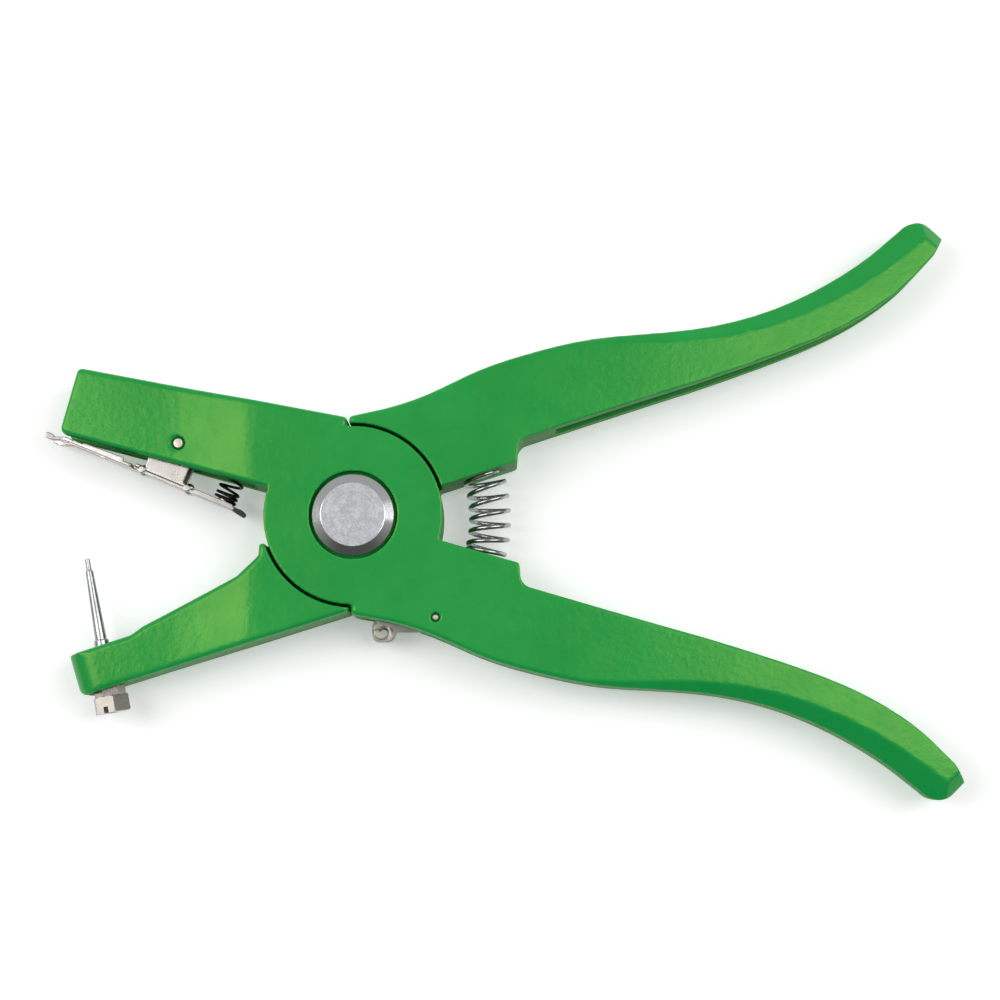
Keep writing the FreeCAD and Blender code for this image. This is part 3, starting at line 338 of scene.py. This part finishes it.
def wire(name, points, radius, slot):
    """A round wire along points, with flat ends whose rims are broken."""
    points = np.array(points, float)
    tangents = np.gradient(points, axis=0)
    tangents /= np.linalg.norm(tangents, axis=1)[:, None]
    normal = np.cross(tangents[0], (0.0, 0.0, 1.0))
    normal /= np.linalg.norm(normal)
    turn = np.linspace(0, 2 * math.pi, WIRE_SIDES, endpoint=False)
    rings = []
    last = len(points) - 1
    for index, (point, tangent) in enumerate(zip(points, tangents)):
        normal = normal - tangent * (normal @ tangent)
        normal /= np.linalg.norm(normal)
        other = np.cross(tangent, normal)
        thin = WIRE_END if index in (0, last) else 1.0
        rings.append(point + radius * thin * (np.outer(np.cos(turn), normal)
                                              + np.outer(np.sin(turn), other)))
    vertices = [tuple(v) for ring in rings for v in ring]
    faces = []
    for index in range(last):
        for side in range(WIRE_SIDES):
            a = index * WIRE_SIDES + side
            b = index * WIRE_SIDES + (side + 1) % WIRE_SIDES
            faces.append((a, b, b + WIRE_SIDES, a + WIRE_SIDES))
    faces.append(tuple(reversed(range(WIRE_SIDES))))
    faces.append(tuple(range(last * WIRE_SIDES, (last + 1) * WIRE_SIDES)))
    mesh = bpy.data.meshes.new(name)
    mesh.from_pydata(vertices, [], faces)
    mesh.validate()
    fix = bmesh.new()
    fix.from_mesh(mesh)
    bmesh.ops.recalc_face_normals(fix, faces=fix.faces)
    fix.to_mesh(mesh)
    fix.free()
    return new_piece(name, mesh, slot)


def evened(values, window):
    """Values averaged over a window, leaving both ends alone."""
    kernel = np.hanning(window)
    half = window // 2
    values[half:-half] = np.convolve(values, kernel / kernel.sum(), "valid")
    return values


# ------------------------------------------------------------------ castings and stampings
CAST_VOXEL = 0.37 * MM
CAST_SHARE = 0.47               # of the faces kept: under the exporter's limit for a piece

softened("tag_jaw_frame", "tag_jaw_casting", CAST_VOXEL, 4, kept_share=CAST_SHARE)
softened("needle_jaw_frame", "needle_jaw_casting", CAST_VOXEL, 4, kept_share=CAST_SHARE)
softened("clip_fork", "clip_fork_stamping", 0.16 * MM, 2)
softened("clip_bracket", "clip_bracket_stamping", 0.14 * MM, 2)


# ------------------------------------------------------------------ latch
LATCH_MIDDLE = 7.0 * MM         # height of the lever's middle plane
LEVER_HALF = 2.3 * MM           # half its thickness
TAB_LOWERING = 0.9              # share of the tab's height over the lever that is taken off
CURL_CENTRE = (7.1 * MM, -30.9 * MM)
CURL_TURNS = (0.2, 1.25)        # where the spiral begins and ends
CURL_GROWTH = (0.35, 0.36)      # its radius in mm at turn 0, and what a radian adds
CURL_PHASE = 0.6                # radians
GROOVE_DEPTH = 0.28 * MM
GROOVE_WIDTH = 0.26 * MM
TAB_LIMIT = (11.0 * MM, -27.5 * MM)     # the tab is on the -X and -Y sides of this point


def lowered_tab(points):
    """The tab stands only a little proud of the lever."""
    height = points[:, 2] - LATCH_MIDDLE
    proud = np.maximum(np.abs(height) - LEVER_HALF, 0)
    points[:, 2] -= np.sign(height) * proud * TAB_LOWERING
    return points


def curled_tab(points):
    """A shallow spiral groove on both ends of the tab, where its sheet is rolled up."""
    turn = np.linspace(*CURL_TURNS, 90) * 2 * math.pi
    radius = (CURL_GROWTH[0] + CURL_GROWTH[1] * turn) * MM
    spiral = np.stack([CURL_CENTRE[0] - radius * np.cos(turn - CURL_PHASE),
                       CURL_CENTRE[1] + radius * np.sin(turn - CURL_PHASE)], axis=1)
    height = points[:, 2] - LATCH_MIDDLE
    on_end = np.abs(height) > LEVER_HALF - 0.4 * MM
    near = np.where(on_end & (points[:, 1] < TAB_LIMIT[1]) & (points[:, 0] < TAB_LIMIT[0]))[0]
    gap = np.linalg.norm(points[near, None, :2] - spiral[None], axis=2).min(axis=1)
    points[near, 2] -= np.sign(height[near]) * GROOVE_DEPTH * np.exp(-(gap / GROOVE_WIDTH) ** 2)
    return points


latch = softened("latch_lever", "latch_lever_cast", 0.16 * MM, 10, lowered_tab)
moved(latch.data, curled_tab)
latch.data.materials[0] = MATERIALS["tumbled_nickel"]


# ------------------------------------------------------------------ return spring
SPRING_WIRE = 1.3 * MM
SPRING_ARC = 36.6 * MM          # from the pivot to the middle of the coils
PAD_ANGLE = 17.1                # of the end coils, either side of the X axis
FIRST_TURN = -14.7              # angles of the outermost points of the first and last open turns
LAST_TURN = 13.1
OPEN_TURNS = 5
CLOSED_TURN = 0.9               # of a turn at each end, lying against the pad
FLAT_PART = (0.25, 0.15)        # turns and degrees of the stretch that is on the pad itself
COIL_LEAN = (1.0 * MM, 0.2 * MM)        # of the first and last open turns, down on the pivot's side
LEAN_GROWS = (-0.4, 0.5)        # over these turns, counted from either closed end
SPRING_STEPS = 48               # per turn


def return_spring():
    """Bowed between the pads: its middle line is an arc about the pivot."""
    low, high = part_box("return_spring")
    coil = (high.x - low.x - SPRING_WIRE) / 2
    middle_z = (low.z + high.z) / 2
    start = -CLOSED_TURN
    end = OPEN_TURNS + CLOSED_TURN
    knots = (start, start + FLAT_PART[0], 0, OPEN_TURNS, end - FLAT_PART[0], end)
    angles = (-PAD_ANGLE, FLAT_PART[1] - PAD_ANGLE, FIRST_TURN, LAST_TURN,
              PAD_ANGLE - FLAT_PART[1], PAD_ANGLE)
    steps = np.linspace(start, end, int((end - start) * SPRING_STEPS))
    points = []
    for turn, angle in zip(steps, evened(np.interp(steps, knots, angles), 17)):
        spin = 2 * math.pi * turn
        lean = np.interp(turn, (0, OPEN_TURNS), COIL_LEAN) * (1 - math.cos(spin)) / 2
        lean *= np.interp(min(turn, OPEN_TURNS - turn), LEAN_GROWS, (0, 1))
        direction = math.radians(angle) - lean / SPRING_ARC
        outwards = SPRING_ARC + coil * math.cos(spin)
        points.append((outwards * math.cos(direction), outwards * math.sin(direction),
                       middle_z - coil * math.sin(spin)))
    piece = wire("return_spring_coil", points, SPRING_WIRE / 2, "spring_steel")
    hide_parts("return_spring")
    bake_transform(piece)


return_spring()


# ------------------------------------------------------------------ clip spring
CLIP_WIRE = 0.8 * MM
CLIP_COIL = 2.9 * MM
CLIP_TURNS = 5.6
CLIP_RISE = ((0, 2.5, 4.6, 5.6), (0, 2.9, 8.8, 10.1))       # height in mm after so many turns
CLIP_FOOT = 16.6 * MM           # from the clip's pin, along the plate
PLATE_TOP = -9.9 * MM           # from the clip's pin, across the plate
CLIP_STEPS = 44                 # per turn
CLIP_START = math.radians(200)  # of the wire's lower end, round the coil


def clip_spring():
    """Stands on the clip's tail and pushes against the roof of the jaw's channel."""
    along = Vector((math.cos(CLIP_SLOPE), math.sin(CLIP_SLOPE), 0))
    up = Vector((-along.y, along.x, 0))
    foot = Vector(CLIP_PIN) + along * CLIP_FOOT + up * (PLATE_TOP + CLIP_WIRE / 2)
    turns = np.linspace(0, CLIP_TURNS, int(CLIP_TURNS * CLIP_STEPS))
    points = []
    for turn, rise in zip(turns, evened(np.interp(turns, *CLIP_RISE) * MM, 33)):
        spin = 2 * math.pi * turn + CLIP_START
        point = foot + up * rise + along * CLIP_COIL * math.cos(spin)
        points.append((point.x, point.y, point.z + CLIP_COIL * math.sin(spin)))
    piece = wire("clip_spring_coil", points, CLIP_WIRE / 2, "black_steel")
    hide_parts("clip_spring")
    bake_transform(piece)


clip_spring()


# ------------------------------------------------------------------ finish of the CAD nodes
for node, source in NODES.items():
    if not source.hide_render:
        source.data.materials.clear()
        source.data.materials.append(MATERIALS[SLOT_OF[node]])


# ------------------------------------------------------------------ floor, light and camera
FLOOR_REACH = 15.0              # to each side
FLOOR_GLOW = 0.32               # keeps the shadows pale
FLOOR_DROP = 0.02 * MM
LIGHT_AIM = Vector((0.03, 0, 0.01))
SKY_SPAN = (-0.75, 0.10)        # from the dim sky on the -Y side to the bright one
SKY_STRENGTH = (0.10, 0.52)


def floor():
    """Pale ground just under the object."""
    corners = [(-1, -1), (1, -1), (1, 1), (-1, 1)]
    mesh = bpy.data.meshes.new("floor")
    mesh.from_pydata([(FLOOR_REACH * x, FLOOR_REACH * y, 0) for x, y in corners], [], [(0, 1, 2, 3)])
    plane = bpy.data.objects.new("floor", mesh)
    scene.collection.objects.link(plane)
    n = Nodes("pale_floor")
    shade = n.mix(n.noise(6.0), (0.86, 0.86, 0.86), (0.90, 0.90, 0.90))
    mesh.materials.append(n.finish(Base_Color=shade, Roughness=0.7, Emission_Color=shade,
                                   Emission_Strength=FLOOR_GLOW))
    plane.location.z = cad_low.z - FLOOR_DROP


def soft_box(name, place, width, height, power):
    """A rectangular soft light aimed at the object."""
    data = bpy.data.lights.new(name, "AREA")
    data.shape = "RECTANGLE"
    data.size = width
    data.size_y = height
    data.energy = power
    light = bpy.data.objects.new(name, data)
    scene.collection.objects.link(light)
    light.location = place
    aim = LIGHT_AIM - Vector(place)
    light.rotation_euler = aim.to_track_quat("-Z", "Y").to_euler()


def sky():
    """White light from all round, fading to dim on the -Y side."""
    world = bpy.data.worlds.new("studio")
    world.use_nodes = True
    tree = world.node_tree
    background = tree.nodes["Background"]
    background.inputs["Color"].default_value = (1, 1, 1, 1)
    split = tree.nodes.new("ShaderNodeSeparateXYZ")
    tree.links.new(tree.nodes.new("ShaderNodeTexCoord").outputs["Generated"], split.inputs[0])
    fade = tree.nodes.new("ShaderNodeMapRange")
    for socket, number in zip(fade.inputs[1:5], SKY_SPAN + SKY_STRENGTH):
        socket.default_value = number
    tree.links.new(split.outputs["Y"], fade.inputs["Value"])
    tree.links.new(fade.outputs["Result"], background.inputs["Strength"])
    scene.world = world


def studio():
    soft_box("left_box", (-0.585, 0.12, 0.78), 0.42, 0.80, 4.1)
    soft_box("right_box", (0.58, 0.12, 0.82), 0.44, 0.80, 3.9)
    sky()
    scene.view_settings.view_transform = "Standard"
    scene.view_settings.look = "None"


VIEW_TILT = math.radians(6.5)   # of the line of sight, from straight down
VIEW_ROLL = math.radians(1.0)
VIEW_DISTANCE = 0.575
VIEW_TARGET = Vector((39.4, 4.35, 10.0)) * MM
VIEW_LENS = 76.1
VIEW_SENSOR = 36.0


def camera():
    """Looks down on the object from a little towards -Y."""
    right = Vector((math.cos(VIEW_ROLL), -math.sin(VIEW_ROLL), 0))
    north = Vector((math.sin(VIEW_ROLL), math.cos(VIEW_ROLL), 0))
    back = -north * math.sin(VIEW_TILT) + Vector((0, 0, math.cos(VIEW_TILT)))
    data = bpy.data.cameras.new("camera")
    data.lens = VIEW_LENS
    data.sensor_width = VIEW_SENSOR
    view = bpy.data.objects.new("camera", data)
    scene.collection.objects.link(view)
    rotation = Matrix((right, back.cross(right), back)).transposed().to_4x4()
    view.matrix_world = Matrix.Translation(VIEW_TARGET + back * VIEW_DISTANCE) @ rotation
    scene.camera = view


floor()
studio()
camera()
